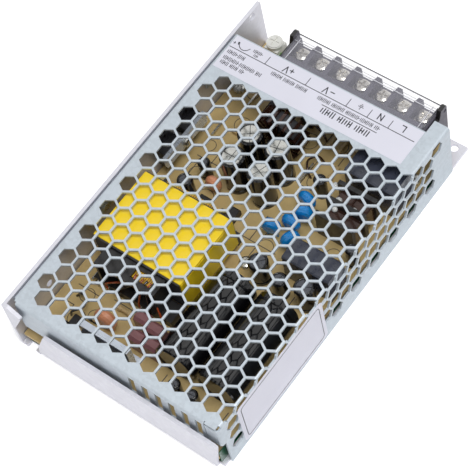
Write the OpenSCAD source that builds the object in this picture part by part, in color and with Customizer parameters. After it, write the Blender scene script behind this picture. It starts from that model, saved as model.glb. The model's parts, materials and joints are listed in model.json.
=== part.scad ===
// Mesh-case switching power supply: a folded aluminium chassis, a folded steel cover
// pierced with hexagons, the circuit board with its components, and a seven-way
// barrier terminal block under a clear flip cover.
// Millimetres. +Z is up and +X points to the terminal end; the origin is the centre
// of the case at the underside of the base.

/* [Case] */
// Length of the chassis
case_l = 159; // [155:1:175]
// Width of the case, over the side sticker
case_w = 97; // [95:1:110]
// Height of the case
case_h = 30; // [29:0.5:40]
// Thickness of the chassis sheet
chassis_t = 1.5; // [1:0.1:2]
// Outside radius of the chassis bends
chassis_r = 1.9; // [1.8:0.1:3]
// Height of the end wall
end_wall_h = 21; // [15:0.5:27]
// Height of the lip along the right-hand edge of the base
lip_h = 3.2; // [2.6:0.1:4]

/* [Cover] */
// Thickness of the cover sheet
cover_t = 0.8; // [0.5:0.1:1]
// Outside radius of the cover bends
cover_r = 1.2; // [1.1:0.1:2]
// Gap between the cover and the chassis walls
seam_gap = 0.4; // [0.2:0.1:0.8]
// Gap between the end flange of the cover and the end wall
end_gap = 1.3; // [0.6:0.1:2]
// Distance from the terminal end of the chassis to the front edge of the cover
cover_setback = 17.1; // [16.5:0.1:20]
// How far the right-hand strip of the cover runs on past the front edge
strip_l = 5.8; // [3:0.1:7]
// Width of the right-hand strip
strip_w = 6.5; // [6:0.1:7.4]
// Height of the end flange
end_flange_h = 17; // [15:0.5:19]
// Height of the left-hand flange
left_flange_h = 4.2; // [3:0.1:4.5]
// Height of the two screw tabs of the left-hand flange
screw_tab_h = 10; // [9:0.5:14]

/* [Mesh] */
// Pitch of the hexagonal holes
hex_pitch = 7.05; // [6.6:0.05:7.3]
// Web between two holes
hex_web = 0.9; // [0.7:0.05:1.6]
// Distance from the near end of the case to the first column of holes
mesh_inset_x = 10.6; // [9:0.1:13]
// Distance from the left side of the case to the first row of holes
mesh_inset_y = 8.2; // [7.5:0.1:9]
// Columns of holes in the top
top_cols = 19; // [12:1:19]
// Columns of holes in the side
side_cols = 21; // [12:1:21]
// Solid strip along the bottom of the side
side_strip = 6.2; // [4:0.1:9]

/* [End slots] */
// Number of slanted slots in the end flange
slots = 6; // [3:1:6]
// Pitch of the slots
slot_pitch = 6; // [5:0.1:6.5]
// Width of a slot
slot_w = 2.8; // [2:0.1:3.2]
// Height of a slot
slot_h = 13; // [10:0.5:14]
// Sideways slant of a slot over its height
slot_slant = 1.2; // [0:0.1:3]

/* [Stickers] */
// Thickness of the stickers
label_t = 0.1; // [0.08:0.01:0.15]
// Width of the top sticker along the case
top_label_l = 16.2; // [12:0.1:17]
// Length of the side sticker
side_label_l = 51; // [40:0.5:52]
// Height of the side sticker
side_label_h = 25.8; // [20:0.1:26.5]

/* [Board] */
// Thickness of the circuit board
board_t = 1.6; // [1:0.1:2]
// Height of the standoffs
standoff_h = 2.9; // [2.5:0.1:3.5]
// Diameter of the standoffs
standoff_d = 5.5; // [5:0.1:6.5]
// Diameter of the board screws
board_screw_d = 2.9; // [2.5:0.1:3]
// Thickness of the insulating sheet
sheet_t = 0.3; // [0.2:0.05:0.5]
// Height of the turned-up corner of the insulating sheet
flap_h = 8; // [5:0.5:12]

/* [Mounting holes] */
// Diameter of the tapped mounting holes
mount_d = 3; // [2.5:0.1:4]
// Spacing of the base holes along the case
mount_x = 117; // [100:1:120]
// Spacing of the base holes across the case
mount_y = 77; // [60:1:80]
// Diameter of the clearance holes at the terminal end
ear_hole_d = 3.5; // [3:0.1:4.5]

/* [Terminals] */
// Number of terminals
ways = 7; // [3:1:7]
// Pitch of the terminals
way_pitch = 9.5; // [9:0.1:9.6]
// Thickness of a barrier
barrier_t = 2.2; // [1.6:0.1:2.4]
// Height of the barriers above the board
barrier_h = 15.6; // [14:0.1:16]
// Height of the wire deck above the board
deck_h = 9.2; // [8:0.1:9.5]
// Thickness of the end ears
ear_t = 1.8; // [1.4:0.1:3]
// Diameter of the terminal screws
screw_d = 3.4; // [3:0.1:3.6]
// Diameter of the screw heads
screw_head_d = 6.2; // [5.6:0.1:6.6]
// Side of the square clamp plates
clamp_w = 7; // [6.5:0.1:7.1]
// Thickness of the clamp plates
clamp_t = 1; // [0.8:0.1:1.2]
// Thickness of the flip cover
flip_t = 1; // [0.8:0.1:1.2]
// Diameter of the hinge rod of the flip cover
rod_d = 2.2; // [2:0.1:2.6]

/* [Adjuster] */
// Diameter of the adjuster knob
knob_d = 6.8; // [5:0.1:7]
// Height of the adjuster above the board
knob_top = 7.5; // [6:0.1:9]

/* [Components] */
// Diameter of the two bulk capacitors
bulk_d = 17.4; // [14:0.1:18]
// Length of the two bulk capacitors
bulk_l = 40; // [30:0.5:41]
// Diameter of the output capacitors
output_d = 10; // [8:0.1:10.5]
// Height of the output capacitors
output_h = 20; // [12:0.5:22]
// Length of the transformer core along the case
core_l = 33; // [28:0.5:34]
// Width of the transformer core across the case
core_w = 40; // [34:0.5:41]
// Height of the transformer core
core_h = 16; // [12:0.5:17]

/* [Hidden] */
$fn = 32;
eps = 0.01;

// Outer planes of the case
x_end = case_l / 2;
y_left = case_w / 2;
y_side = -(case_w / 2 - label_t);
z_top = case_h;

// Inner planes and edges that the pieces share
wall_in_y = y_left - chassis_t;
end_in_x = -x_end + chassis_t;
flange_x = end_in_x + end_gap;
cover_left_y = wall_in_y - seam_gap;
cover_front_x = x_end - cover_setback;
strip_x = cover_front_x + strip_l;
strip_y = y_side + strip_w;
side_in_y = y_side + cover_t;
lip_y = side_in_y + 0.3;
lip_x = -x_end + 8.5;

// Near edge of the side wall, the corner tab and the ends of the end flange
side_near_x = flange_x + 2.2;
tab_y = y_side + 5.8;
tab_low = z_top - 13;
tab_high = z_top - cover_t - 0.6;
flange_right_y = y_side + 6.2;
flange_left_y = cover_left_y - 2.2;

// Heights
board_z = chassis_t + standoff_h;
top_z = board_z + board_t;

// Outline of the board
board_near_x = end_in_x + 0.4;
board_far_x = x_end - 1.3;
board_left_y = wall_in_y - 0.4;
board_right_y = lip_y + chassis_t + 0.4;
board_bore_d = board_screw_d + 0.3;
screw_cap_d = 5.4;

// Mounts
ear_hole = [x_end - 2.8, y_side + 4.8];
wall_hole = [x_end - 6, z_top - 2.8];
side_hole_z = case_h / 2;

// Left-hand end of the first slot in the end flange
first_slot_y = -7.2;

// Mesh
hex_flats = hex_pitch - hex_web;
col_step = hex_pitch * sqrt(3) / 2;
max_rows = ceil((case_w + case_h) / hex_pitch) + 1;
label_cols = [1, 8];

// Terminal block
block_y = -4.4;
block_w = ways * way_pitch;
block_back_x = cover_front_x - 0.8;
bay_back_x = x_end - 10.6;
barrier_x = x_end - 0.5;
screw_x = x_end - 5.9;
deck_z = top_z + deck_h;
barrier_z = top_z + barrier_h;
contact_t = 0.8;
clamp_gap = 0.1;
plate_z = deck_z + contact_t + clamp_gap;
head_gap = 0.05;
head_z = plate_z + clamp_t + head_gap;
head_h = 2;
shank_l = 6.5;
thread_gap = 0.1;
flip_z = barrier_z + 0.5;
rod_r = rod_d / 2;
hinge_x = x_end - 0.2 - rod_r;
hinge_z = flip_z + flip_t - rod_r;
flip_gap = 0.2;
pin_d = 1.6;
pin_gap = 0.06;
flip_back_x = cover_front_x + 0.6;

// Adjuster and indicator
knob_at = [x_end - 3.7, wall_in_y - 7.1];
led_at = [x_end - 6.3, knob_at[1] - knob_d / 2 - 2.2];

// Anchors of the layout: near edge of the board, front edge of the cover, long edges of the board
near_x = board_near_x;
front_x = cover_front_x;
left_y = board_left_y;
right_y = board_right_y;
seat = 0.1;

// Transformer
core_at = [near_x + 40.1, left_y - 7.4 - core_w];
core_z = top_z + 4.4;
core_back_t = 2.4;
core_leg_w = 6;
core_window_h = 3.8;
core_gap = 0.15;
bobbin_t = 1.2;
tape_t = 0.5;

// Bulk and output capacitors
bulk_x = near_x + 17.6;
bulk_y1 = core_at[1] - tape_t - 3.4 - bulk_d / 2;
bulk_y2 = bulk_y1 - bulk_d - 1.4;
output_at = [for (j = [0, 1], i = [0, 1])
  [front_x - 44.4 + i * (output_d + 1.6), 16.1 - j * (output_d + 2.6)]];

// Magnetics
choke_at = [front_x - 21.4, 10.8];
choke_d = 19;
choke_w = 6.4;
choke_wire = 1;
choke_gap = 0.1;
choke_z = top_z + choke_d / 2 + choke_gap + choke_wire + seat;
filter_at = [front_x - 37.9, right_y + 14.4];

// Standoffs: four near the corners of the board and one beside the transformer
standoff_at = [[near_x + 6.1, left_y - 5.6], [near_x + 6.1, right_y + 4.9],
  [front_x - 8.4, left_y - 4.1], [front_x - 8.4, right_y + 5.4],
  [core_at[0] + core_l - 4.5, core_at[1] - 6.2]];

// Flat transistors against the left-hand wall, with a clamp bar over each pair
transistor_w = 9.8;
transistor_t = 4.6;
transistor_y = wall_in_y - 0.3;
pair_x = [front_x - 55];
pair_pitch = 13.4;
clamp_bar_l = 25.4;
clamp_bar_t = 1.6;
clamp_bar_h = 6;
clamp_z = top_z + 10;
clamp_screw_x = [for (x = pair_x) x + (pair_pitch + transistor_w) / 2];

// Width of the bridge rectifier
bridge_w = 20;

// Cover screws
cover_screw_x = [near_x + 53.6, front_x - 16.4];
cover_screw_z = z_top - 6.5;
cover_screw_d = 3;
csk_d = 5.4;
csk_h = 1.3;
screw_tab_w = 11;

// ---- shared shapes ----

// Quarter ring along +X that turns from the +Y side down to the -Z side
module bend(r, t, l) {
  rotate([90, 0, 90])
    linear_extrude(l)
      intersection() {
        difference() {
          circle(r = r);
          circle(r = r - t);
        }
        square(r + 1);
      }
}

module hexagon() {
  circle(r = hex_flats / sqrt(3), $fn = 6);
}

// Screw seen from above: domed head, shank below it and a cross recess
module pan_screw(head_d, head_t, shank_d, length, cross) {
  difference() {
    union() {
      translate([0, 0, -length])
        cylinder(d = shank_d, h = length);
      rotate_extrude()
        polygon([[0, 0], [head_d / 2, 0], [head_d / 2, head_t * 0.45],
          [head_d / 2 - 0.35, head_t * 0.8], [head_d / 2 - 1.1, head_t], [0, head_t]]);
    }
    for (a = [0, 90])
      rotate(a)
        translate([-cross / 2, -cross / 10, head_t * 0.45])
          cube([cross, cross / 5, head_t]);
  }
}

// Upright can capacitor with a crimped neck and a scored top
module upright_can(d, h) {
  rotate_extrude()
    polygon([[0, 0], [d / 2, 0], [d / 2, 1.6], [d / 2 - 0.4, 2], [d / 2, 2.4],
      [d / 2, h - 0.5], [d / 2 - 0.5, h], [d / 2 - 1, h], [d / 2 - 1, h - 0.3], [0, h - 0.3]]);
}

// Flat disc component standing on two leads
module disc_part(d, t, lift) {
  translate([-t / 2, 0, lift + d / 2])
    rotate([0, 90, 0])
      rotate_extrude()
        polygon([[0, 0], [d / 2 - 1.8, 0], [d / 2 - 0.7, 0.5], [d / 2, 1.5], [d / 2, t - 1.5],
          [d / 2 - 0.7, t - 0.5], [d / 2 - 1.8, t], [0, t]]);
  for (s = [-1, 1])
    translate([-0.3, s * d / 4 - 0.3, 0])
      cube([0.6, 0.6, lift + d * 0.12]);
}

// Moulded box component with bevelled top edges
module box_part(size, bevel) {
  translate([0, size[1], 0])
    rotate([90, 0, 0])
      linear_extrude(size[1])
        polygon([[0, 0], [size[0], 0], [size[0], size[2] - bevel], [size[0] - bevel, size[2]],
          [bevel, size[2]], [0, size[2] - bevel]]);
}

// Flat transistor package standing with its metal back to the left-hand wall
module transistor() {
  leg_h = 4;
  body_h = 9.5;
  tab_h = 5.5;
  tab_t = 1.3;
  translate([0, -transistor_t, leg_h])
    cube([transistor_w, transistor_t, body_h]);
  translate([0, -tab_t, leg_h + body_h])
    difference() {
      cube([transistor_w, tab_t, tab_h]);
      translate([transistor_w / 2, 1, tab_h / 2])
        rotate([90, 0, 0])
          cylinder(d = 3.4, h = tab_t + 2);
    }
  for (k = [-1, 0, 1])
    translate([transistor_w / 2 + k * 2.5 - 0.4, -transistor_t / 2 - 0.3, 0])
      cube([0.8, 0.6, leg_h]);
}

// ---- chassis ----

module base_outline() {
  notch = chassis_r + 0.6;
  difference() {
    union() {
      translate([-x_end + chassis_r, lip_y + chassis_r])
        square([2 * x_end - chassis_r, y_left - lip_y - 2 * chassis_r]);
      translate([-x_end, 38.6])
        square([chassis_r + eps, y_left - chassis_r - 38.6]);
      translate([strip_x + 0.8, y_side + 0.4])
        square([x_end - strip_x - 0.8, lip_y - y_side + chassis_r]);
      translate([-x_end + chassis_r, lip_y])
        square([lip_x + x_end - chassis_r - 0.3, chassis_r + eps]);
    }
    translate([-x_end - eps, 40.5])
      square([notch, 4]);
    for (x = [-1, 1], y = [-1, 1])
      translate([x * mount_x / 2, y * mount_y / 2])
        circle(d = mount_d);
    translate(ear_hole)
      circle(d = ear_hole_d);
  }
}

module end_wall_outline() {
  right = y_side + 0.3;
  polygon([[right + 3.2, chassis_r], [38.6, chassis_r], [37.4, 7.5], [31.3, end_wall_h],
    [right + 1, end_wall_h], [right, end_wall_h - 1]]);
}

module base_chassis() color("gainsboro") {
  lip_len = strip_x - 4 - lip_x;
  linear_extrude(chassis_t)
    base_outline();
  // left-hand wall and its bend
  translate([-x_end, y_left - chassis_r, chassis_r])
    mirror([0, 0, 1])
      bend(chassis_r, chassis_t, case_l);
  difference() {
    left_wall();
    for (x = cover_screw_x)
      translate([x, y_left + eps, cover_screw_z])
        rotate([90, 0, 0])
          cylinder(d1 = csk_d, d2 = cover_screw_d + 0.4, h = csk_h);
  }
  // near end wall and its bend
  translate([-x_end + chassis_r, y_side + 3.5, chassis_r])
    rotate(90)
      mirror([0, 0, 1])
        bend(chassis_r, chassis_t, 38.6 - y_side - 3.5);
  translate([-x_end, 0, 0])
    rotate([90, 0, 90])
      linear_extrude(chassis_t)
        end_wall_outline();
  // corner gusset folded in from the left-hand wall
  translate([-x_end, 0, 0])
    rotate([90, 0, 90])
      linear_extrude(chassis_t)
        polygon([[wall_in_y, 13], [wall_in_y, z_top], [wall_in_y - 1, z_top], [40.8, 26],
          [40.8, 25.2]]);
  // lip along the right-hand edge
  translate([lip_x, lip_y + chassis_r, chassis_r])
    mirror([0, 1, 0])
      mirror([0, 0, 1])
        bend(chassis_r, chassis_t, lip_len);
  translate([lip_x, lip_y, chassis_r])
    cube([lip_len, chassis_t, lip_h - chassis_r]);
}

module left_wall() {
  translate([0, y_left, 0])
    rotate([90, 0, 0])
      linear_extrude(chassis_t)
        difference() {
          translate([-x_end, chassis_r])
            square([case_l, z_top - chassis_r]);
          translate(wall_hole)
            circle(d = ear_hole_d);
          for (s = [-1, 1])
            translate([s * mount_x / 2, side_hole_z])
              circle(d = mount_d);
          for (s = cover_screw_x)
            translate([s, cover_screw_z])
              circle(d = cover_screw_d + 0.4);
          for (p = clamp_screw_x)
            translate([p, clamp_z])
              circle(d = board_screw_d + 0.4);
        }
}

// ---- mesh cover ----

function col_x(c) = -x_end + mesh_inset_x + c * col_step;
function row_y(c, k) = y_left - mesh_inset_y - (k + (c % 2 == 0 ? 0.5 : 0)) * hex_pitch;
function side_z(y) = z_top - (y_side - y);
function straddles(y) = y >= y_side && y < y_side + hex_flats / 2;
function under_label(c, z) = c >= label_cols[0] && c <= label_cols[1] && z < z_top - 5;

// Holes whose centres lie in the top of the cover
module top_holes(fold_only = false) {
  for (c = [0 : top_cols - 1], k = [0 : max_rows])
    if (row_y(c, k) >= y_side && (!fold_only || straddles(row_y(c, k))))
      translate([col_x(c), row_y(c, k)])
        hexagon();
}

// Holes of the same pattern carried on down the side
module side_holes() {
  for (c = [0 : side_cols - 1], k = [0 : max_rows])
    if (row_y(c, k) < y_side && side_z(row_y(c, k)) - hex_flats / 2 > side_strip
        && !under_label(c, side_z(row_y(c, k))))
      translate([col_x(c), side_z(row_y(c, k))])
        hexagon();
  // one more hole beside the front corner
  translate([col_x(side_cols), side_z(y_side - hex_pitch * 0.42)])
    hexagon();
}

module fold_holes() {
  for (c = [0 : top_cols - 1], k = [0 : max_rows])
    if (straddles(row_y(c, k)))
      translate([col_x(c), side_z(row_y(c, k))])
        hexagon();
}

module cover_top_outline() {
  flat_y = y_side + cover_r;
  edge_x = flange_x + 0.3;
  union() {
    translate([flange_x + cover_r, flat_y])
      square([cover_front_x - flange_x - cover_r, cover_left_y - cover_r - flat_y]);
    translate([cover_front_x - eps, flat_y])
      square([strip_l + eps, strip_w - cover_r]);
    translate([edge_x, flat_y])
      square([cover_r, flange_right_y - 0.4 - flat_y]);
  }
}

module cover_side_outline() {
  translate([side_near_x, 0.3])
    square([strip_x - side_near_x, z_top - cover_r - 0.3]);
  translate([flange_x + cover_r, tab_low])
    square([side_near_x - flange_x, tab_high - tab_low]);
}

module end_slot_outline() {
  for (k = [0 : slots - 1])
    translate([first_slot_y - k * slot_pitch, z_top - 1.5])
      polygon([[0, -slot_h], [-slot_w, -slot_h], [-slot_w - slot_slant, 0], [-slot_slant, 0]]);
}

module mesh_cover() color("lightsteelblue") {
  // top
  translate([0, 0, z_top - cover_t])
    linear_extrude(cover_t)
      difference() {
        cover_top_outline();
        top_holes();
      }
  // right-hand side
  translate([0, side_in_y, 0])
    rotate([90, 0, 0])
      linear_extrude(cover_t)
        difference() {
          cover_side_outline();
          side_holes();
          fold_holes();
        }
  // fold between them, with the holes that cross it
  difference() {
    translate([side_near_x, y_side + cover_r, z_top - cover_r])
      mirror([0, 1, 0])
        bend(cover_r, cover_t, strip_x - side_near_x);
    translate([0, 0, z_top - cover_r + 0.2])
      linear_extrude(cover_r)
        top_holes(fold_only = true);
    translate([0, side_in_y + 0.4, 0])
      rotate([90, 0, 0])
        linear_extrude(cover_t + 1)
          fold_holes();
    translate([0, side_in_y, 0])
      rotate([90, 0, 0])
        linear_extrude(cover_t + 1)
          intersection() {
            side_holes();
            translate([-x_end, 0])
              square([case_l, z_top - 0.6]);
          }
  }
  // left-hand fold and flange
  translate([flange_x + cover_r + 1, cover_left_y - cover_r, z_top - cover_r])
    bend(cover_r, cover_t, cover_front_x - flange_x - cover_r - 1);
  translate([0, cover_left_y, 0])
    rotate([90, 0, 0])
      linear_extrude(cover_t)
        difference() {
          union() {
            translate([flange_x + cover_r + 1, z_top - left_flange_h])
              square([cover_front_x - flange_x - cover_r - 1, left_flange_h - cover_r]);
            for (s = cover_screw_x)
              translate([s - screw_tab_w / 2, z_top - screw_tab_h])
                square([screw_tab_w, screw_tab_h - cover_r]);
          }
          for (s = cover_screw_x)
            translate([s, cover_screw_z])
              circle(d = cover_screw_d + 0.2);
        }
  // end fold and flange with its slanted slots
  difference() {
    union() {
      translate([flange_x + cover_r, flange_right_y, z_top - cover_r])
        rotate(90)
          bend(cover_r, cover_t, flange_left_y - flange_right_y);
      translate([flange_x, flange_right_y, z_top - end_flange_h])
        cube([cover_t, flange_left_y - flange_right_y, end_flange_h - cover_r]);
    }
    translate([flange_x - 1, 0, 0])
      rotate([90, 0, 90])
        linear_extrude(cover_t + 1.6)
          end_slot_outline();
  }
  // corner tab folded round from the side
  translate([flange_x + cover_r, y_side + cover_r, tab_low])
    rotate([0, -90, 90])
      bend(cover_r, cover_t, tab_high - tab_low);
  translate([flange_x, y_side + cover_r, tab_low])
    cube([cover_t, tab_y - y_side - cover_r, tab_high - tab_low]);
}

module rating_label() color("lavender") {
  translate([cover_front_x - 0.5 - top_label_l, strip_y + 0.3, z_top])
    cube([top_label_l, cover_left_y - cover_r - 0.2 - strip_y - 0.3, label_t]);
}

module side_label() color("lavender") {
  r = 2;
  x0 = -x_end + 13.4;
  z0 = 1.6;
  translate([0, y_side, 0])
    rotate([90, 0, 0])
      linear_extrude(label_t)
        union() {
          translate([x0 + r, z0])
            square([side_label_l - 2 * r, side_label_h]);
          translate([x0, z0 + r])
            square([side_label_l, side_label_h - 2 * r]);
          for (x = [x0 + r, x0 + side_label_l - r], z = [z0 + r, z0 + side_label_h - r])
            translate([x, z])
              circle(r = r);
        }
}

// ---- board and fastenings ----

module board_outline() {
  difference() {
    translate([board_near_x, board_right_y])
      square([board_far_x - board_near_x, board_left_y - board_right_y]);
    translate([ear_hole[0] - 5.6, board_right_y - 1])
      square([10, ear_hole[1] + 3 - board_right_y + 1]);
  }
}

module circuit_board() color("tan") {
  translate([0, 0, board_z])
    linear_extrude(board_t)
      difference() {
        board_outline();
        for (p = standoff_at)
          translate(p)
            circle(d = board_bore_d);
      }
}

module insulation_sheet() color("darkgreen") {
  edge_y = lip_y + chassis_r + 0.1;
  flap_y = board_right_y - 0.1 - sheet_t;
  corner_l = lip_x - board_near_x - 0.8;
  translate([0, 0, chassis_t])
    linear_extrude(sheet_t)
      difference() {
        union() {
          translate([board_near_x + 0.4, edge_y])
            square([strip_x - board_near_x - 1.4, board_left_y - 1.8 - edge_y]);
          translate([board_near_x + 0.4, flap_y])
            square([corner_l, edge_y - flap_y + eps]);
        }
        for (p = standoff_at)
          translate(p)
            circle(d = standoff_d + 1.4);
        for (x = [-1, 1], y = [-1, 1])
          translate([x * mount_x / 2, y * mount_y / 2])
            circle(d = mount_d + 3);
      }
  // corner turned up beside the edge of the board
  translate([board_near_x + 0.4, flap_y, chassis_t])
    cube([corner_l, sheet_t, flap_h]);
}

module board_standoffs() color("silver") {
  for (p = standoff_at)
    translate([p[0], p[1], chassis_t])
      difference() {
        cylinder(d = standoff_d, h = standoff_h);
        translate([0, 0, -eps])
          cylinder(d = board_screw_d + 0.1, h = standoff_h + 2 * eps);
      }
}

module board_screws() color("silver") {
  for (p = standoff_at)
    translate([p[0], p[1], top_z])
      pan_screw(screw_cap_d, 1.8, board_screw_d, board_t + standoff_h - 0.4, 3.2);
}

module cover_screws() color("silver") {
  for (x = cover_screw_x)
    translate([x, y_left - 0.1, cover_screw_z])
      rotate([90, 0, 0])
        difference() {
          union() {
            cylinder(d1 = csk_d - 0.2, d2 = cover_screw_d, h = csk_h);
            cylinder(d = cover_screw_d, h = chassis_t + seam_gap + cover_t + 1.4);
          }
          for (a = [0, 90])
            rotate(a)
              translate([-1.4, -0.3, -eps])
                cube([2.8, 0.6, 0.9]);
        }
}

// ---- terminal block ----

function way_y(k) = block_y + ((ways + 1) / 2 - k) * way_pitch;

module block_profile() {
  polygon([[block_back_x, top_z], [barrier_x, top_z], [barrier_x, deck_z], [bay_back_x, deck_z],
    [bay_back_x, barrier_z], [block_back_x, barrier_z]]);
}

module barrier_profile() {
  polygon([[bay_back_x - 1, top_z], [barrier_x, top_z], [barrier_x, hinge_z - rod_r - 0.5],
    [hinge_x - rod_r - 0.4, hinge_z - rod_r - 0.1], [hinge_x - rod_r - 0.4, barrier_z],
    [bay_back_x - 1, barrier_z]]);
}

module ear_profile() {
  polygon([[block_back_x, top_z], [x_end - 0.1, top_z], [x_end - 0.1, flip_z + 1.4],
    [x_end - 0.9, flip_z + 2.2], [x_end - 3.8, flip_z + 2.2], [x_end - 5, barrier_z - 1.6],
    [block_back_x, barrier_z - 1.6]]);
}

// Extrudes an XZ outline over a stretch of Y
module along_y(y0, y1) {
  translate([0, y1, 0])
    rotate([90, 0, 0])
      linear_extrude(y1 - y0)
        children();
}

module terminal_block() color([0.25, 0.25, 0.28]) {
  y0 = block_y - block_w / 2;
  y1 = block_y + block_w / 2;
  difference() {
    union() {
      along_y(y0, y1)
        block_profile();
      for (k = [0 : ways])
        along_y(y0 + k * way_pitch - (k == 0 ? 0 : barrier_t / 2),
          y0 + k * way_pitch + (k == ways ? 0 : barrier_t / 2))
          barrier_profile();
      along_y(y0 - ear_t, y0)
        ear_profile();
      along_y(y1, y1 + ear_t)
        ear_profile();
    }
    for (k = [1 : ways])
      translate([screw_x, way_y(k), head_z - shank_l - 1])
        cylinder(d = screw_d + 1.4, h = shank_l + 2);
    translate([hinge_x, y0 - ear_t - 1, hinge_z])
      rotate([-90, 0, 0])
        cylinder(d = pin_d + 2 * pin_gap, h = block_w + 2 * ear_t + 2);
  }
}

module terminal_contacts() color("gold") {
  for (k = [1 : ways])
    translate([screw_x, way_y(k), deck_z])
      difference() {
        union() {
          translate([-clamp_w / 2 - 0.3, -clamp_w / 2, 0])
            cube([clamp_w + 0.8, clamp_w, contact_t]);
          translate([0, 0, -1.6])
            cylinder(d = screw_d + 1.2, h = 1.6 + eps);
        }
        translate([0, 0, -3])
          cylinder(d = screw_d + 2 * thread_gap, h = 6);
      }
}

module clamp_plate(k) color("silver") {
  translate([screw_x, way_y(k), plate_z])
    difference() {
      union() {
        translate([-clamp_w / 2, -clamp_w / 2, 0])
          cube([clamp_w, clamp_w, clamp_t]);
      }
      translate([0, 0, -eps])
        cylinder(d = screw_d + 0.5, h = clamp_t + 2 * eps);
    }
}

module terminal_screw(k) color("gainsboro") {
  translate([screw_x, way_y(k), head_z])
    rotate(20 * k)
      pan_screw(screw_head_d, head_h, screw_d, shank_l, 4.2);
}

module terminal_cover() color([0.8, 0.85, 0.9, 0.4]) {
  y0 = block_y - block_w / 2 + flip_gap;
  y1 = block_y + block_w / 2 - flip_gap;
  rib = 1;
  union() {
    translate([flip_back_x, y0, flip_z])
      cube([hinge_x - flip_back_x, y1 - y0, flip_t]);
    translate([hinge_x, y0, hinge_z])
      rotate([-90, 0, 0])
        cylinder(r = rod_r, h = y1 - y0);
    translate([hinge_x, y0 - ear_t * 0.7, hinge_z])
      rotate([-90, 0, 0])
        cylinder(d = pin_d, h = y1 - y0 + ear_t * 1.4);
    translate([flip_back_x, y0, flip_z + flip_t - eps])
      cube([rib, y1 - y0, 0.5]);
  }
}

// ---- adjuster and indicator ----

module adjuster_body() color("whitesmoke") {
  w = knob_d - 0.4;
  translate([knob_at[0] - w / 2, knob_at[1] - w / 2, top_z])
    difference() {
      cube([w, w, knob_top - 2.2]);
      translate([w / 2, w / 2, 1.5])
        cylinder(d = 3.1, h = knob_top);
    }
}

module adjuster_knob() color("honeydew") {
  translate([knob_at[0], knob_at[1], top_z + knob_top - 2])
    difference() {
      union() {
        cylinder(d = knob_d, h = 1.6);
        cylinder(d1 = knob_d, d2 = knob_d - 0.8, h = 2);
        translate([0, 0, -2.8])
          cylinder(d = 3, h = 2.9);
      }
      translate([-knob_d * 0.3, -0.4, 1.5])
        cube([knob_d * 0.6, 0.8, 1]);
      translate([-0.4, -knob_d * 0.3, 1.5])
        cube([0.8, knob_d * 0.6, 1]);
    }
}

module indicator_led() color("yellowgreen") {
  translate([led_at[0], led_at[1], top_z + 1.5]) {
    cylinder(d = 3.8, h = 1);
    cylinder(d = 3, h = 3.2);
    translate([0, 0, 3.2])
      sphere(d = 3);
    for (s = [-1, 1])
      translate([-0.25, s * 1.1 - 0.25, -1.5])
        cube([0.5, 0.5, 1.6]);
  }
}

// ---- transformer ----

// Windows of the core, above and below its middle leg
module core_windows() {
  for (z = [core_back_t, core_h - core_back_t - core_window_h])
    translate([core_leg_w, z])
      square([core_w - 2 * core_leg_w, core_window_h]);
}

module transformer_core() color([0.12, 0.12, 0.13]) {
  translate([core_at[0], core_at[1], core_z])
    rotate([90, 0, 90])
      linear_extrude(core_l)
        difference() {
          square([core_w, core_h]);
          core_windows();
        }
}

module transformer_tape() color("gold") {
  translate([core_at[0] + 0.6, core_at[1], core_z])
    rotate([90, 0, 90])
      linear_extrude(core_l - 1.2)
        difference() {
          translate([-tape_t, -tape_t])
            square([core_w + 2 * tape_t, core_h + 2 * tape_t]);
          square([core_w, core_h]);
        }
}

// XZ outline that fills both windows and runs past the core at each end
module window_band(near, far, inset) {
  low = core_z + core_back_t + inset;
  translate([core_at[0] - near, low])
    square([near + core_l + far, core_h - 2 * core_back_t - 2 * inset]);
}

// XZ outline of the middle leg with a clearance round it
module leg_hole(slack) {
  translate([core_at[0] - slack, core_z + core_back_t + core_window_h - slack])
    square([core_l + 2 * slack, core_h - 2 * core_back_t - 2 * core_window_h + 2 * slack]);
}

module transformer_bobbin() color([0.1, 0.1, 0.1]) {
  near = 8.3;
  far = 3.1;
  rail_w = core_w - 3;
  x0 = core_at[0] - near;
  x1 = core_at[0] + core_l;
  // pin rails on the board at the two ends of the core
  translate([x0, core_at[1] + 0.6, top_z])
    cube([near - core_gap, rail_w, core_z - top_z]);
  translate([x1 + core_gap, core_at[1] + 0.6, top_z])
    cube([far - core_gap, rail_w, core_z - top_z]);
  // flanges on each side of the winding
  for (y = [core_leg_w + core_gap, core_w - core_leg_w - core_gap - bobbin_t])
    along_y(core_at[1] + y, core_at[1] + y + bobbin_t)
      difference() {
        union() {
          window_band(near, far, core_gap);
          translate([x0, core_z - eps])
            square([near - core_gap, core_h - 1.5]);
          translate([x1 + core_gap, core_z - eps])
            square([1.5, core_h - 3]);
        }
        leg_hole(core_gap);
      }
  // hood over the near end of the winding, open above its leads
  hood_t = 1.1;
  hood_z = core_z + core_h - 1.5 - eps - hood_t;
  hood_y = core_at[1] + core_leg_w + core_gap + bobbin_t - eps;
  hood_w = core_w - 2 * (core_leg_w + core_gap + bobbin_t - eps);
  difference() {
    translate([x0, hood_y, hood_z])
      cube([near - core_gap, hood_w, hood_t]);
    translate([x0 + 2.5, core_at[1] + 9.5, hood_z - 1])
      cube([4.2, 9, hood_t + 2]);
  }
}

module transformer_winding() color([0.85, 0.7, 0.1]) {
  side = core_leg_w + 2 * core_gap + bobbin_t;
  along_y(core_at[1] + side, core_at[1] + core_w - side)
    difference() {
      window_band(5, 2.2, 2 * core_gap);
      leg_hole(core_gap);
    }
}

// ---- capacitors ----

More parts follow.
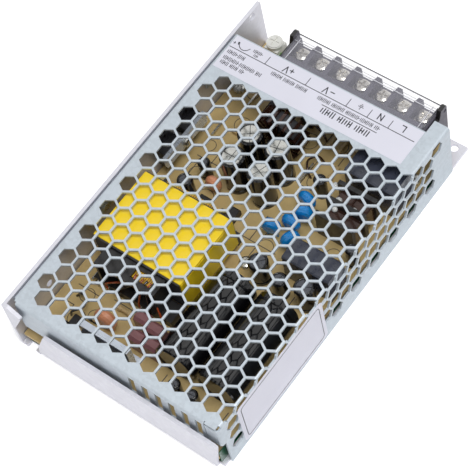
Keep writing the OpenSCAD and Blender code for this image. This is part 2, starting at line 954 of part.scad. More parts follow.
module lying_can(y) {
  translate([bulk_x, y, top_z + bulk_d / 2 + seat])
    rotate([0, 90, 0])
      rotate_extrude()
        polygon([[0, 0.4], [bulk_d / 2 - 1.4, 0.4], [bulk_d / 2 - 1, 0], [bulk_d / 2 - 0.6, 0],
          [bulk_d / 2, 0.6], [bulk_d / 2, bulk_l - 4], [bulk_d / 2 - 0.5, bulk_l - 3.4],
          [bulk_d / 2, bulk_l - 2.8], [bulk_d / 2, bulk_l - 0.6], [bulk_d / 2 - 0.6, bulk_l],
          [bulk_d / 2 - 1.2, bulk_l], [bulk_d / 2 - 1.2, bulk_l - 0.5], [0, bulk_l - 0.5]]);
  for (s = [-1, 1])
    translate([bulk_x + bulk_l - 0.5 - eps, y + s * 3.5 - 0.4, 0]) {
      translate([0, 0, top_z + bulk_d / 2 + seat - 0.4])
        cube([1.6, 0.8, 0.8]);
      translate([0.8, 0, top_z])
        cube([0.8, 0.8, bulk_d / 2 + seat]);
    }
}

module output_capacitor(k) color([0.15, 0.15, 0.2]) {
  translate([output_at[k - 1][0], output_at[k - 1][1], top_z])
    upright_can(output_d, output_h);
}

module box_at(x, y, size, bevel = 0.6) {
  translate([x, y, top_z])
    box_part(size, bevel);
}

module x_capacitor_1() color([0.22, 0.25, 0.32])
  box_at(front_x - 25.9, right_y + 1.4, [13, 22, 17]);
module x_capacitor_2() color([0.22, 0.25, 0.32])
  box_at(front_x - 67.9, right_y + 1.4, [10, 21, 15]);

module y_capacitors() color([0.08, 0.5, 0.8]) {
  for (p = [[-56, 36.8, 15], [-57, 27.2, 60], [-50.8, 31.2, 0], [-45.1, 29.6, 20],
      [-39.6, 31.8, -10]])
    translate([front_x + p[0], right_y + p[1], top_z])
      rotate(p[2])
        disc_part(8, 4.2, 3);
}

module film_capacitors() color([0.45, 0.3, 0.32]) {
  for (p = [[24.5, 6.5], [23.3, -0.5], [17.2, 3.4], [17.6, -3.5]])
    box_at(near_x + p[0], core_at[1] + p[1], [5, 5.6, 9], 1.2);
}

module small_capacitors() color([0.08, 0.08, 0.1]) {
  // beside the bulk capacitors: place, diameter and height
  for (p = [[bulk_x + 49.5, bulk_y1 - 2.1, 8, 12], [bulk_x + 48, bulk_y2 + 6.2, 6.3, 11],
      [bulk_x + 49.5, bulk_y2 - 4.3, 8, 13], [bulk_x - 6, bulk_y1 - 4.6, 5, 9],
      [bulk_x - 6, bulk_y2 + 6.2, 5, 9]])
    translate([p[0], p[1], top_z])
      upright_can(p[2], p[3]);
  // along the long edges of the board, towards the front
  for (p = [[-50, right_y + 4, 5, 11], [-31.4, right_y + 31.4, 5, 11],
      [-58.4, left_y - 16.6, 6.3, 11], [-47.9, left_y - 17.6, 5, 10]])
    translate([front_x + p[0], p[1], top_z])
      upright_can(p[2], p[3]);
}

// ---- magnetics ----

// Ring of a toroid standing on its edge, with its axis along the case
module standing_ring(outer_d, inner_d, w) {
  translate([choke_at[0] - w / 2, choke_at[1], choke_z])
    rotate([0, 90, 0])
      difference() {
        cylinder(d = outer_d, h = w);
        translate([0, 0, -eps])
          cylinder(d = inner_d, h = w + 2 * eps);
      }
}

module output_choke_core() color([0.12, 0.12, 0.14]) {
  standing_ring(choke_d, choke_d * 0.5, choke_w);
}

module output_choke_winding() color([0.6, 0.3, 0.15]) {
  turns = 20;
  wide = choke_w + 2 * choke_gap;
  long = choke_d / 4 + 2 * choke_gap;
  for (k = [0 : turns - 1])
    translate([choke_at[0], choke_at[1], choke_z])
      rotate([(k + 0.5) * 360 / turns, 0, 0])
        translate([-wide / 2, -choke_wire * 0.6, choke_d / 4 - choke_gap])
          difference() {
            translate([-choke_wire, 0, -choke_wire])
              cube([wide + 2 * choke_wire, choke_wire * 1.2, long + 2 * choke_wire]);
            translate([0, -1, 0])
              cube([wide, choke_wire * 4, long]);
          }
}

module line_filter_core() color([0.9, 0.9, 0.9]) {
  // two ferrite legs in a white bobbin with three flanges
  translate([filter_at[0] - 8.5, filter_at[1] - 8.5, top_z]) {
    for (x = [0, 7.6, 15.2])
      translate([x, 0, 0])
        cube([1.8, 17, 15]);
    for (y = [3, 10])
      translate([0.5, y, 5])
        cube([16, 4, 5]);
  }
}

module line_filter_winding() color([0.55, 0.25, 0.12]) {
  for (y = [3, 10], x = [1.8, 9.4])
    translate([filter_at[0] - 8.5 + x, filter_at[1] - 8.5 + y, top_z])
      translate([0.15, -2, 3])
        difference() {
          cube([5.5, 8 - 1.2, 9]);
          translate([-1, 1.9, 1.9])
            cube([8, 4.2 - 0.1, 5.2]);
        }
}

// ---- other components ----

module thermistor() color([0.9, 0.6, 0.5]) {
  // inrush disc beside the bridge rectifier and a smaller one past the transformer
  translate([near_x + 19.4, core_at[1] + 21.3, top_z])
    disc_part(9.5, 4.5, 2);
  translate([front_x - 51.8, core_at[1] + 22.8, top_z])
    disc_part(7, 4.2, 2);
}

module fuse() color([0.85, 0.85, 0.8]) {
  translate([front_x - 7.8, right_y + 11.4, top_z + 2.75])
    rotate([-90, 0, 0])
      for (part = [[0, 5.2, 5], [5, 4.8, 10], [15, 5.2, 5]])
        translate([0, 0, part[0]])
          cylinder(d = part[1], h = part[2]);
}

module bridge_rectifier() color([0.1, 0.1, 0.1]) {
  y0 = core_at[1] + 3.4;
  translate([near_x + 6.6, y0, top_z + 3])
    cube([3.4, bridge_w, 9]);
  for (k = [0 : 3])
    translate([near_x + 7.8, y0 + 1.8 + k * 5.2, top_z])
      cube([0.9, 0.9, 3 + eps]);
}

module heatsink_bar() color("lightblue") {
  // aluminium bar on the inner face of the bridge rectifier
  foot_h = 2;
  translate([near_x + 10.1, core_at[1] + 2.2, top_z]) {
    cube([2.6, bridge_w + 2.4, 14]);
    cube([5, 4, foot_h]);
    translate([0, bridge_w - 1.6, 0])
      cube([5, 4, foot_h]);
  }
}

module power_transistors() color([0.1, 0.1, 0.1]) {
  for (x = pair_x, k = [0, 1])
    translate([x + k * pair_pitch, transistor_y, top_z])
      transistor();
}

module clamp_bar() color("gainsboro") {
  for (x = clamp_screw_x)
    translate([x, transistor_y - transistor_t - seat, clamp_z])
      rotate([90, 0, 0])
        linear_extrude(clamp_bar_t)
          difference() {
            square([clamp_bar_l, clamp_bar_h], center = true);
            circle(d = board_screw_d + 0.3);
          }
}

module clamp_screws() color("silver") {
  for (x = clamp_screw_x)
    translate([x, transistor_y - transistor_t - seat - clamp_bar_t, clamp_z])
      rotate([90, 0, 0])
        pan_screw(5.2, 1.6, board_screw_d, clamp_bar_t + transistor_t + chassis_t, 3);
}

module control_chips() color([0.13, 0.13, 0.14]) {
  box_at(near_x + 11.6, left_y - 16.6, [5, 4, 2.2], 0.5);
  box_at(front_x - 60.4, left_y - 26.6, [4, 5, 2.2], 0.5);
  box_at(front_x - 10.4, left_y - 24.6, [6, 5, 2.2], 0.5);
  // opto-isolators between the two sides of the board
  for (x = [front_x - 61.4, front_x - 9.4])
    box_at(x, 7, [6.4, 4.6, 3.4], 0.6);
}

module resistors() color([0.75, 0.6, 0.4]) {
  // place of the end of each body, and its direction
  for (p = [[near_x + 5.6, left_y - 19.6, 90], [near_x + 17.6, left_y - 19.6, 0],
      [near_x + 27.6, left_y - 30.6, 90], [front_x - 25.4, right_y + 32.4, 0],
      [front_x - 13.4, right_y + 41.4, 0], [front_x - 13.4, right_y + 36.4, 0],
      [front_x - 27.4, left_y - 19.6, 0], [front_x - 27.4, left_y - 15.6, 0],
      [near_x + 61.6, right_y + 1.4, 0]])
    translate([p[0], p[1], top_z + 1.3])
      rotate([0, 90, p[2]])
        rotate_extrude()
          polygon([[0, 0], [1.1, 0], [1.2, 1.2], [0.9, 1.6], [0.9, 4.6], [1.2, 5], [1.1, 6.2],
            [0, 6.2]]);
}

module jumper_wires() color("silver") {
  wire = 0.7;
  // place and length of each wire
  for (p = [[near_x + 31.6, left_y - 8.6, 14], [front_x - 61.9, left_y - 10.6, 8],
      [front_x - 32.4, right_y + 41.4, 10], [front_x - 14.4, left_y - 12.6, 12],
      [front_x - 32.4, left_y - 8.6, 12]])
    translate([p[0], p[1], top_z]) {
      for (x = [0, p[2] - wire])
        translate([x, 0, 0])
          cube([wire, wire, wire * 2]);
      translate([0, 0, wire])
        cube([p[2], wire, wire]);
    }
}

base_chassis();
mesh_cover();
rating_label();
side_label();
insulation_sheet();
circuit_board();
board_standoffs();
board_screws();
cover_screws();
terminal_block();
terminal_contacts();
terminal_cover();
for (k = [1 : ways]) {
  clamp_plate(k);
  terminal_screw(k);
}
adjuster_body();
adjuster_knob();
indicator_led();
transformer_core();
transformer_tape();
transformer_bobbin();
transformer_winding();
color([0.1, 0.1, 0.12]) lying_can(bulk_y1);  // bulk_capacitor_1
color([0.1, 0.1, 0.12]) lying_can(bulk_y2);  // bulk_capacitor_2
for (k = [1 : 4])
  output_capacitor(k);
output_choke_core();
output_choke_winding();
line_filter_core();
line_filter_winding();
x_capacitor_1();
x_capacitor_2();
y_capacitors();
film_capacitors();
small_capacitors();
thermistor();
fuse();
bridge_rectifier();
heatsink_bar();
power_transistors();
clamp_bar();
clamp_screws();
control_chips();
resistors();
jumper_wires();
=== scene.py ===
"""Looks of the mesh-case power supply: materials, printed marks, component details, camera and light."""

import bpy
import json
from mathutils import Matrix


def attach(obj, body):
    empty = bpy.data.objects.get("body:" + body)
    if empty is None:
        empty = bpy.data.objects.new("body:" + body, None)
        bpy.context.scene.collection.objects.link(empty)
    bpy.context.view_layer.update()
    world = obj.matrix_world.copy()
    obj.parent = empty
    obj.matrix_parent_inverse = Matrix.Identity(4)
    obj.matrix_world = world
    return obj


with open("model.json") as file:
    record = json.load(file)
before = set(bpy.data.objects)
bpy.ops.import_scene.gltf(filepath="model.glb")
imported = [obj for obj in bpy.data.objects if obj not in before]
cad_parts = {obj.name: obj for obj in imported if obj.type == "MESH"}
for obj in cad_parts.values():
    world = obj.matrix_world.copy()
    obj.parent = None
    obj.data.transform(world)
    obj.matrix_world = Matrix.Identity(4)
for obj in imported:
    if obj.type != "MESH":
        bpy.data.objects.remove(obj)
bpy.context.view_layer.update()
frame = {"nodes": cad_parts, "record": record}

import json
import math

import bmesh
import bpy
from mathutils import Matrix, Vector

MM = 0.001
ROOT = "case"
NODES = frame["nodes"]


# ---- colours and shader nodes ----

def srgb(red, green, blue):
    """Linear colour from 0-255 display values."""
    def linear(value):
        share = value / 255
        return share / 12.92 if share <= 0.04045 else ((share + 0.055) / 1.055) ** 2.4
    return (linear(red), linear(green), linear(blue), 1.0)


def scaled(colour, factor):
    return tuple(min(1.0, channel * factor) for channel in colour[:3]) + (1.0,)


class Shader:
    """Small helper that adds and links nodes in one material."""

    def __init__(self, name):
        self.material = bpy.data.materials.new(name)
        self.material.use_nodes = True
        self.tree = self.material.node_tree
        self.bsdf = self.tree.nodes["Principled BSDF"]
        self.coords = self.tree.nodes.new("ShaderNodeTexCoord").outputs["Object"]

    def node(self, kind, **inputs):
        made = self.tree.nodes.new(kind)
        for key, value in inputs.items():
            made.inputs[key.replace("_", " ")].default_value = value
        return made

    def link(self, source, target):
        self.tree.links.new(source, target)

    def stretched(self, scale):
        mapping = self.node("ShaderNodeMapping", Scale=scale)
        self.link(self.coords, mapping.inputs["Vector"])
        return mapping.outputs["Vector"]

    def noise(self, scale, detail=3.0, stretch=None):
        made = self.node("ShaderNodeTexNoise", Scale=scale, Detail=detail)
        self.link(self.stretched(stretch) if stretch else self.coords, made.inputs["Vector"])
        return made.outputs["Fac"]

    def cells(self, scale, stretch=None):
        made = self.node("ShaderNodeTexVoronoi", Scale=scale)
        self.link(self.stretched(stretch) if stretch else self.coords, made.inputs["Vector"])
        return made.outputs["Color"]

    def range(self, source, low, high, start=0.3, stop=0.7):
        made = self.node("ShaderNodeMapRange", From_Min=start, From_Max=stop, To_Min=low, To_Max=high)
        self.link(source, made.inputs["Value"])
        return made.outputs["Result"]

    def blend(self, factor, first, second):
        mix = self.tree.nodes.new("ShaderNodeMix")
        mix.data_type = "RGBA"
        for socket, value in ((mix.inputs[6], first), (mix.inputs[7], second)):
            if isinstance(value, tuple):
                socket.default_value = value
            else:
                self.link(value, socket)
        self.link(factor, mix.inputs[0])
        return mix.outputs[2]

    def bump(self, height, strength, distance):
        made = self.node("ShaderNodeBump", Strength=strength, Distance=distance)
        self.link(height, made.inputs["Height"])
        self.link(made.outputs["Normal"], self.bsdf.inputs["Normal"])


def finish_of(name, colour, rough=0.5, metal=0.0, vary=0.12, grain=600.0, grain_bump=0.15,
              rough_vary=0.08, stretch=None, coat=0.0, second=None):
    """Material with mottled colour, uneven gloss and a fine surface grain."""
    shader = Shader(name)
    broad = shader.noise(grain * 0.12, 4.0, stretch)
    fine = shader.noise(grain, 3.0, stretch)
    tone = shader.range(broad, 0.0, 1.0)
    dark = second or scaled(colour, 1.0 - vary)
    shader.link(shader.blend(tone, dark, scaled(colour, 1.0 + vary * 0.5)), shader.bsdf.inputs["Base Color"])
    shader.link(shader.range(fine, max(0.03, rough - rough_vary), min(1.0, rough + rough_vary)),
                shader.bsdf.inputs["Roughness"])
    shader.bsdf.inputs["Metallic"].default_value = metal
    shader.bsdf.inputs["Coat Weight"].default_value = coat
    shader.bump(fine, grain_bump, 0.00005)
    return shader.material


def galvanised(name, colour, rough, metal, speckle):
    """Zinc-coated sheet: fine spangle over faint rolling streaks."""
    shader = Shader(name)
    spangle = shader.range(shader.cells(900.0), 0.0, 1.0, 0.2, 0.8)
    streaks = shader.noise(260.0, 3.0, (0.25, 1.0, 1.0))
    base = shader.blend(spangle, scaled(colour, 1.0 - speckle), scaled(colour, 1.0 + speckle * 0.6))
    shade = shader.blend(shader.range(streaks, 0.0, 0.35), base, scaled(colour, 1.0 + speckle))
    shader.link(shade, shader.bsdf.inputs["Base Color"])
    shader.link(shader.range(streaks, rough - 0.07, rough + 0.09), shader.bsdf.inputs["Roughness"])
    shader.bsdf.inputs["Metallic"].default_value = metal
    shader.bump(shader.cells(1500.0), 0.06, 0.00004)
    return shader.material


def banded(name, colour, other, axis, pitch, share, rough=0.35, coat=0.3):
    """Turns of wire or tape: two colours in bands along one axis."""
    shader = Shader(name)
    split = shader.node("ShaderNodeSeparateXYZ")
    shader.link(shader.coords, split.inputs[0])
    wave = shader.tree.nodes.new("ShaderNodeMath")
    wave.operation = "PINGPONG"
    wave.inputs[1].default_value = pitch / 2
    shader.link(split.outputs[axis], wave.inputs[0])
    level = shader.range(wave.outputs[0], 0.0, 1.0, pitch * (share - 0.12) / 2, pitch * (share + 0.12) / 2)
    shader.link(shader.blend(level, other, colour), shader.bsdf.inputs["Base Color"])
    fine = shader.noise(700.0)
    shader.link(shader.range(fine, rough - 0.06, rough + 0.1), shader.bsdf.inputs["Roughness"])
    shader.bsdf.inputs["Coat Weight"].default_value = coat
    shader.bump(wave.outputs[0], 0.5, 0.2)
    return shader.material


def clear_plastic(name, colour, edge):
    """Clear moulded cover: see-through face on, darker and denser along edges seen at a slant."""
    shader = Shader(name)
    slant = shader.node("ShaderNodeLayerWeight", Blend=0.5).outputs["Facing"]
    fine = shader.noise(90.0, 2.0)
    tint = shader.blend(shader.range(slant, 0.0, 1.0, 0.25, 0.75), colour, edge)
    shader.link(tint, shader.bsdf.inputs["Base Color"])
    shader.link(shader.range(slant, 0.13, 0.62, 0.25, 0.85), shader.bsdf.inputs["Alpha"])
    shader.link(shader.range(fine, 0.06, 0.14), shader.bsdf.inputs["Roughness"])
    shader.bsdf.inputs["IOR"].default_value = 1.45
    shader.bump(fine, 0.05, 0.0001)
    return shader.material


MATERIALS = {
    "chassis": galvanised("chassis_sheet", srgb(216, 216, 224), 0.4, 0.5, 0.04),
    "cover": galvanised("cover_sheet", srgb(190, 199, 207), 0.45, 0.4, 0.07),
    "sticker": finish_of("sticker_film", srgb(226, 226, 238), 0.42, vary=0.03, grain=500.0, grain_bump=0.05),
    "film": finish_of("green_film", srgb(20, 92, 60), 0.3, vary=0.15, grain=300.0, coat=0.4),
    # laminate colour lifted above its own: painted light for the light that reaches the board under the mesh cover
    "board": finish_of("board_laminate", srgb(200, 174, 118), 0.5, vary=0.16, grain=900.0, coat=0.15),
    "zinc": finish_of("zinc_plate", srgb(205, 205, 200), 0.28, metal=0.9, vary=0.1, grain=900.0),
    "nickel": finish_of("nickel_plate", srgb(208, 204, 196), 0.26, metal=0.85, vary=0.16, grain=700.0),
    "contact": finish_of("tinned_brass", srgb(214, 206, 182), 0.3, metal=0.9, vary=0.12),
    "block": finish_of("block_plastic", srgb(92, 89, 100), 0.5, vary=0.1, grain=800.0),
    "clear": clear_plastic("clear_cover", srgb(214, 214, 226), srgb(92, 92, 100)),
    "pot": finish_of("pot_plastic", srgb(228, 228, 222), 0.45, vary=0.06),
    "led": finish_of("led_lens", srgb(105, 160, 70), 0.2, vary=0.1, coat=0.6),
    "ferrite": finish_of("ferrite", srgb(48, 48, 52), 0.55, vary=0.25, grain=1200.0),
    "tape": finish_of("yellow_tape", srgb(247, 214, 38), 0.38, vary=0.05, grain=250.0, coat=0.3,
                      stretch=(0.3, 1.0, 1.0)),
    "bakelite": finish_of("bakelite", srgb(26, 25, 26), 0.42, vary=0.3, coat=0.2),
    "winding": banded("taped_winding", srgb(222, 176, 30), srgb(120, 74, 20), 1, 0.0009, 0.35),
    "copper": finish_of("enamelled_copper", srgb(60, 34, 25), 0.22, metal=0.5, vary=0.25, coat=0.5),
    "sleeve": finish_of("black_sleeve", srgb(16, 16, 19), 0.12, vary=0.2, grain=200.0, rough_vary=0.03,
                        grain_bump=0.05, coat=0.3),
    "xcap": finish_of("slate_box", srgb(56, 60, 74), 0.3, vary=0.12, coat=0.3),
    "bluecap": finish_of("blue_dip", srgb(20, 138, 216), 0.25, vary=0.14, grain=300.0, coat=0.5),
    "filmcap": finish_of("film_box", srgb(132, 88, 90), 0.35, vary=0.14, coat=0.2),
    "orange": finish_of("orange_dip", srgb(222, 150, 112), 0.38, vary=0.14, coat=0.3),
    "ceramicbody": finish_of("glazed_ceramic", srgb(222, 220, 208), 0.3, vary=0.06, coat=0.3),
    "epoxy": finish_of("black_epoxy", srgb(34, 34, 37), 0.45, vary=0.25, grain=1000.0),
    "heatsink": finish_of("extruded_aluminium", srgb(214, 222, 234), 0.3, metal=0.6, vary=0.06,
                          stretch=(1.0, 0.1, 1.0)),
    "resistor": finish_of("resistor_body", srgb(196, 170, 122), 0.4, vary=0.14, coat=0.2),
    "ink": finish_of("printed_ink", srgb(44, 44, 52), 0.5, vary=0.12),
    # dark colour of the tubes along the clear cover's edges: painted shade for the dark look of the clear edges
    "edge": finish_of("cover_painted_edge_shade", srgb(84, 84, 92), 0.25, vary=0.15, coat=0.4),
    # light colour of the tubes inside the clear cover's edges: painted highlights
    "glint": finish_of("cover_painted_highlight", srgb(226, 226, 234), 0.2, vary=0.05, coat=0.5),
    "lead": finish_of("red_lead", srgb(168, 72, 34), 0.3, vary=0.2, coat=0.4),
    "glue": finish_of("silicone_glue", srgb(226, 228, 226), 0.3, vary=0.08, coat=0.3),
    "lid": finish_of("dark_lid", srgb(96, 98, 104), 0.3, metal=0.7, vary=0.15),
}


def dress_cad_nodes():
    """Every CAD node takes the material of its slot in the record."""
    for part in frame["record"]["subparts"]:
        mesh = NODES[part["node"]].data
        mesh.materials.clear()
        mesh.materials.append(MATERIALS[part["material_slot"]])


dress_cad_nodes()


# ---- mesh helpers ----

def new_mesh():
    return bmesh.new()


def piece_from(name, mesh_data, material, body=ROOT, smooth=False):
    """Object from a bmesh, with the material of a slot, riding on a body."""
    bmesh.ops.recalc_face_normals(mesh_data, faces=mesh_data.faces)
    mesh = bpy.data.meshes.new(name)
    mesh_data.to_mesh(mesh)
    mesh_data.free()
    mesh.materials.append(MATERIALS[material])
    for face in mesh.polygons:
        face.use_smooth = smooth
    made = bpy.data.objects.new(name, mesh)
    bpy.context.scene.collection.objects.link(made)
    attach(made, body)
    return made


def add_prism(mesh_data, outline, low, high, to_world):
    """Closed prism over an outline: to_world maps (u, v, height) in mm to a point in mm."""
    rings = []
    for height in (low, high):
        rings.append([mesh_data.verts.new(Vector(to_world(u, v, height)) * MM) for u, v in outline])
    count = len(outline)
    mesh_data.faces.new(rings[0][::-1])
    mesh_data.faces.new(rings[1])
    for index in range(count):
        after = (index + 1) % count
        mesh_data.faces.new((rings[0][index], rings[0][after], rings[1][after], rings[1][index]))


def add_block(mesh_data, low, high):
    corners = [(low[0], low[1]), (high[0], low[1]), (high[0], high[1]), (low[0], high[1])]
    add_prism(mesh_data, corners, low[2], high[2], lambda u, v, height: (u, v, height))


def add_tube(mesh_data, points, radius, sides=8):
    """Round wire along a list of points in mm, with closed ends."""
    path = [Vector(point) for point in points]
    rings = []
    side = None
    for index, point in enumerate(path):
        ahead = path[min(index + 1, len(path) - 1)] - path[max(index - 1, 0)]
        ahead.normalize()
        if side is None:
            side = ahead.orthogonal().normalized()
        side = (side - ahead * side.dot(ahead)).normalized()
        other = ahead.cross(side)
        ring = []
        for k in range(sides):
            turn = 2 * math.pi * k / sides
            off = (side * math.cos(turn) + other * math.sin(turn)) * radius
            ring.append(mesh_data.verts.new((point + off) * MM))
        rings.append(ring)
    for first, second in zip(rings, rings[1:]):
        for k in range(sides):
            after = (k + 1) % sides
            mesh_data.faces.new((first[k], first[after], second[after], second[k]))
    mesh_data.faces.new(rings[0][::-1])
    mesh_data.faces.new(rings[-1])


def curve_through(points, steps=6):
    """Smooth run of points through a few given ones."""
    run = []
    knots = [Vector(point) for point in points]
    padded = [knots[0] * 2 - knots[1], *knots, knots[-1] * 2 - knots[-2]]
    for index in range(1, len(padded) - 2):
        before, start, stop, after = padded[index - 1:index + 3]
        for step in range(steps):
            share = step / steps
            run.append(0.5 * (2 * start + (stop - before) * share
                              + (2 * before - 5 * start + 4 * stop - after) * share ** 2
                              + (3 * start - before - 3 * stop + after) * share ** 3))
    run.append(knots[-1])
    return run


def add_turned(mesh_data, outline, to_world, sides=28):
    """Solid turned from a closed outline of (radius, height) pairs with radius above zero."""
    rings = []
    for k in range(sides):
        turn = 2 * math.pi * k / sides
        across, along = math.cos(turn), math.sin(turn)
        rings.append([mesh_data.verts.new(Vector(to_world(radius * across, radius * along, height)) * MM)
                      for radius, height in outline])
    count = len(outline)
    for k in range(sides):
        here, there = rings[k], rings[(k + 1) % sides]
        for index in range(count):
            after = (index + 1) % count
            mesh_data.faces.new((here[index], there[index], there[after], here[after]))


def upright(place_x, place_y):
    return lambda u, v, height: (place_x + u, place_y + v, height)


def wedge(radius, start, stop, gap, steps=6):
    """Sector of a disc, with its straight sides drawn back from its neighbours by half a gap."""
    middle = (start + stop) / 2
    off = gap / 2 / math.sin((stop - start) / 2)
    shift = Vector((math.cos(middle), math.sin(middle))) * off
    trim = gap / 2 / radius
    rim = [(radius * math.cos(turn), radius * math.sin(turn))
           for turn in (start + trim + (stop - start - 2 * trim) * k / steps for k in range(steps + 1))]
    return [(shift.x, shift.y), *rim]


# ---- print on the two stickers ----

LABEL_TOP = 30.1
INK_T = 0.03
TEXT_LINE_X = 56.4


def stroke(mesh_data, start, stop, width, to_world):
    """Straight printed stroke between two points of the sticker."""
    along = (Vector(stop) - Vector(start)).normalized()
    side = Vector((-along.y, along.x)) * width / 2
    tip = along * width / 2
    ends = [Vector(start) - tip, Vector(stop) + tip]
    outline = [ends[0] - side, ends[1] - side, ends[1] + side, ends[0] + side]
    add_prism(mesh_data, [(p.x, p.y) for p in outline], -0.01, INK_T, to_world)


GLYPHS = {
    "plus": [((0, 0.5), (0.7, 0.5)), ((0.35, 0.15), (0.35, 0.85))],
    "minus": [((0, 0.5), (0.7, 0.5))],
    "v": [((0, 1), (0.35, 0)), ((0.35, 0), (0.7, 1))],
    "n": [((0, 0), (0, 1)), ((0, 1), (0.65, 0)), ((0.65, 0), (0.65, 1))],
    "l": [((0, 1), (0, 0)), ((0, 0), (0.6, 0))],
    "earth": [((0.5, 1.1), (0.5, 0.55)), ((0, 0.55), (1, 0.55)), ((0.2, 0.28), (0.8, 0.28)),
              ((0.4, 0), (0.6, 0))],
}


def add_glyph(mesh_data, name, place_x, place_y, height, width=0.32):
    """Terminal mark that reads from the terminal side; the place is its lower left corner."""
    def to_world(u, v, lift):
        return (place_x - v, place_y + u, LABEL_TOP + lift)
    for start, stop in GLYPHS[name]:
        stroke(mesh_data, [c * height for c in start], [c * height for c in stop], width, to_world)


def add_bar_row(mesh_data, row_x, start, stop, height, weight, groups):
    """Row of fine bars across the row, in groups, where a maker would print a line of data."""
    def flat(u, v, lift):
        return (u, v, LABEL_TOP + lift)
    pitch = weight * 2.4
    place = start
    number = 0
    while place > stop:
        tall = height * (1.0 if number % 3 else 0.72)
        stroke(mesh_data, (row_x - tall / 2, place), (row_x + tall / 2, place), weight, flat)
        if number % 4 == 2:
            stroke(mesh_data, (row_x, place), (row_x, place - pitch), weight, flat)
        number += 1
        place -= pitch * (2.0 if number % groups == 0 else 1.0)


LINE_ENDS_Y = (44.8, -40.4)
DIVIDER_Y = (28.0, 8.9, -9.8, -19.4, -28.8)
DIVIDER_END_X = 60.1
LINE_W, DIVIDER_W, ROW_W = 0.3, 0.28, 0.27
# glyph, x, y, height and weight of the mark of each terminal
TERMINAL_MARKS = [("v", 59.9, 18.4, 2.7, 0.42), ("plus", 60.1, 16.1, 2.2, 0.42), ("v", 59.9, -0.2, 2.7, 0.42),
                  ("minus", 60.0, -2.9, 2.2, 0.42), ("earth", 60.2, -16.0, 2.1, 0.26),
                  ("n", 60.4, -24.8, 2.6, 0.42), ("l", 60.4, -34.7, 2.6, 0.42)]
ADJUSTER_ARC = [(59.0, 42.3, 0), (57.7, 40.9, 0), (57.3, 39.3, 0), (57.9, 37.9, 0), (59.1, 37.0, 0)]
# x, first y, last y, height, weight and group length of each row of bars
ADJUSTER_ROWS = [(59.3, 35.2, 31.2, 1.4, 0.24, 9), (57.6, 34.0, 32.0, 1.0, 0.22, 9)]
DATA_ROWS = [(54.2, 44.0, 36.0, 1.6, ROW_W, 7), (51.2, 43.8, 25.8, 1.6, ROW_W, 11),
             (48.9, 43.6, 33.0, 1.6, ROW_W, 6), (54.4, 23.2, 6.0, 1.6, ROW_W, 8),
             (54.4, 1.4, -26.0, 1.6, ROW_W, 9)]
UNDERLINE = ((52.4, -1.8), (52.5, -26.3))
BOLD_ROW = (50.4, -3.0, -25.2, 2.3, 0.46, 6)


def add_rating_print():
    marks = new_mesh()

    def flat(u, v, lift):
        return (u, v, LABEL_TOP + lift)

    stroke(marks, (TEXT_LINE_X, LINE_ENDS_Y[0]), (TEXT_LINE_X, LINE_ENDS_Y[1]), LINE_W, flat)
    for place in DIVIDER_Y:
        stroke(marks, (TEXT_LINE_X, place), (DIVIDER_END_X, place), DIVIDER_W, flat)
    for mark in TERMINAL_MARKS:
        add_glyph(marks, *mark)
    # arc with a thick tip beside the adjuster, a plus near the wall and two short rows
    arc = [(p.x, p.y) for p in curve_through(ADJUSTER_ARC, 4)]
    for start, stop in zip(arc, arc[1:]):
        stroke(marks, start, stop, DIVIDER_W, flat)
    stroke(marks, arc[0], (arc[0][0] + 0.5, arc[0][1] + 0.2), 0.75, flat)
    add_glyph(marks, "plus", 59.4, 43.6, 1.4, 0.26)
    for row in ADJUSTER_ROWS + DATA_ROWS:
        add_bar_row(marks, *row)
    stroke(marks, *UNDERLINE, LINE_W, flat)
    add_bar_row(marks, *BOLD_ROW)
    piece_from("rating_print", marks, "ink")


def rounded_outline(low, high, radius, steps=5):
    """Corner points of a rounded rectangle."""
    centres = [(high[0] - radius, high[1] - radius, 0), (low[0] + radius, high[1] - radius, 1),
               (low[0] + radius, low[1] + radius, 2), (high[0] - radius, low[1] + radius, 3)]
    return [(cx + radius * math.cos((quarter + k / steps) * math.pi / 2),
             cy + radius * math.sin((quarter + k / steps) * math.pi / 2))
            for cx, cy, quarter in centres for k in range(steps + 1)]


SIDE_FACE_Y = -48.5
SIDE_FRAME = ((-64.3, 3.2), (-16.9, 25.6))
SIDE_FRAME_R, SIDE_FRAME_W = 1.6, 0.3


def add_side_print():
    """Thin rounded frame near the edge of the side sticker."""
    marks = new_mesh()
    low, high = SIDE_FRAME
    outline = rounded_outline(low, high, SIDE_FRAME_R)
    inner = rounded_outline((low[0] + SIDE_FRAME_W, low[1] + SIDE_FRAME_W),
                            (high[0] - SIDE_FRAME_W, high[1] - SIDE_FRAME_W), SIDE_FRAME_R - SIDE_FRAME_W)
    verts = [[marks.verts.new(Vector((x, SIDE_FACE_Y + lift - 0.02, z)) * MM) for x, z in ring]
             for lift in (0.01, -INK_T) for ring in (outline, inner)]
    count = len(outline)
    order = (verts[0], verts[1], verts[3], verts[2])
    for k in range(count):
        after = (k + 1) % count
        for first, second in zip(order, order[1:] + order[:1]):
            marks.faces.new((first[k], first[after], second[after], second[k]))
    piece_from("side_print", marks, "ink")


# ---- capacitors ----

OUTPUT_CANS = [(18.0, 16.1), (29.6, 16.1), (18.0, 3.5), (29.6, 3.5)]
SMALL_CANS = [(-10.5, -15.5, 8, 12), (-12.0, -26.0, 6.3, 11), (-10.5, -36.5, 8, 13),
              (-66.0, -18.0, 5, 9), (-66.0, -26.0, 5, 9), (12.4, -41.4, 5, 11),
              (31.0, -14.0, 5, 11), (4.0, 30.0, 6.3, 11), (14.5, 29.0, 5, 10)]
BOARD_TOP = 6.0


